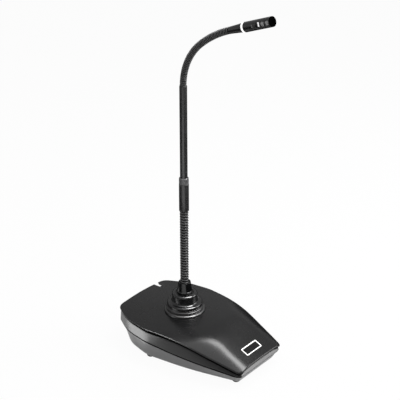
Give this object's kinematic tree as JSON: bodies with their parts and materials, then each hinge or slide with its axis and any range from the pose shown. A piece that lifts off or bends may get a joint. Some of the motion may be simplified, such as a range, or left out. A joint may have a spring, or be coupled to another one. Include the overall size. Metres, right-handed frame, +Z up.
{
  "type": "gooseneck desk microphone",
  "caption": "Desk microphone with a weighted base, talk key, shock-mounted socket, plug-in stem with flexible lengths and a slim slotted head.",
  "frame": {"origin": "on the desk, under the middle of the part's box", "axes": "+Z up out of the desk, -Y towards the front with the talk key, +X to the right seen from the front"},
  "size_m": [0.1116, 0.177, 0.3947],
  "materials": {
    "cover_black": "dark satin plastic, crowned top cover",
    "band_grey": "dark satin plastic, side band",
    "shell_grey": "dark satin plastic, lower shell",
    "ballast_steel": "plain steel plate",
    "foot_rubber": "soft black rubber",
    "screw_steel": "plated steel screws",
    "board_green": "green circuit board",
    "board_black": "black circuit parts",
    "lamp_white": "milky white light guide",
    "key_black": "black key cap",
    "plunger_ivory": "ivory switch plunger",
    "mount_rubber": "black rubber shock mount",
    "collar_black": "gloss black painted collar",
    "insert_black": "black insulating insert",
    "contact_brass": "brass contacts",
    "pin_bright": "bright plated pins",
    "nut_steel": "plain steel nut",
    "plug_black": "satin black painted plug",
    "spring_black": "black coated spring wire",
    "core_black": "black insulated wire core",
    "stem_grey": "satin dark grey painted tube",
    "ring_grey": "satin mid grey ring",
    "head_black": "satin black painted head",
    "sleeve_bright": "bright metal sleeve seen through the slots",
    "output_metal": "dark painted connector shell"
  },
  "bodies": {
    "base": {"top_cover": "cover_black", "side_band": "band_grey", "lower_shell": "shell_grey", "ballast_plate": "ballast_steel", "rubber_feet": "foot_rubber", "housing_screws": "screw_steel", "main_board": "board_green", "board_parts": "board_black", "board_screws": "screw_steel", "light_frame": "lamp_white", "key_board": "board_green", "key_board_screws": "screw_steel", "key_switch": "board_black", "key_lamps": "lamp_white", "shock_mount": "mount_rubber", "socket_collar": "collar_black", "socket_insert": "insert_black", "socket_contacts": "contact_brass", "socket_nut": "nut_steel", "connector_bay": "cover_black", "output_shell": "output_metal", "output_insert": "insert_black", "output_pins": "pin_bright", "output_nut": "nut_steel"},
    "talk_key": {"key_cap": "key_black", "switch_plunger": "plunger_ivory"},
    "plug": {"plug_shell": "plug_black", "plug_insert": "insert_black", "plug_pins": "pin_bright"},
    "lower_flex": {"lower_spring": "spring_black", "lower_core": "core_black"},
    "stem": {"joint_sleeve": "stem_grey", "stem_collar": "ring_grey", "stem_tube": "stem_grey", "stem_core": "core_black"},
    "upper_flex": {"upper_spring": "spring_black", "upper_core": "core_black"},
    "head": {"head_cone": "head_black", "light_ring": "lamp_white", "ring_lamp": "lamp_white", "capsule_housing": "head_black", "capsule_sleeve": "sleeve_bright", "capsule": "sleeve_bright", "front_grille": "head_black"}
  },
  "joints": [
    {"name": "key_press", "type": "slide", "parent": "base", "child": "talk_key", "axis": [0, 0.3778, -0.9259], "range_m": [0, 0.001], "stiffness_N_per_m": 1500},
    {"name": "plug_pull", "type": "slide", "parent": "base", "child": "plug", "axis": [0, 0, 1], "range_m": [0, 0.026]},
    {"name": "lower_lean", "type": "hinge", "parent": "plug", "child": "lower_flex", "pos_m": [0, 0.02203, 0.0987], "axis": [1, 0, 0], "range_deg": [-35, 35], "deforming": ["lower_spring", "lower_core"]},
    {"name": "lower_side", "type": "hinge", "parent": "lower_flex", "child": "stem", "pos_m": [0, 0.02203, 0.1423], "axis": [0, 1, 0], "range_deg": [-35, 35], "deforming": ["lower_spring", "lower_core"]},
    {"name": "upper_nod", "type": "hinge", "parent": "stem", "child": "upper_flex", "pos_m": [0, 0.01744, 0.32721], "axis": [1, 0, 0], "range_deg": [-45, 35], "deforming": ["upper_spring", "upper_core"]},
    {"name": "upper_side", "type": "hinge", "parent": "upper_flex", "child": "head", "pos_m": [0, -0.01378, 0.36121], "axis": [0, 0.529, 0.8486], "range_deg": [-45, 45], "deforming": ["upper_spring", "upper_core"]}
  ]
}
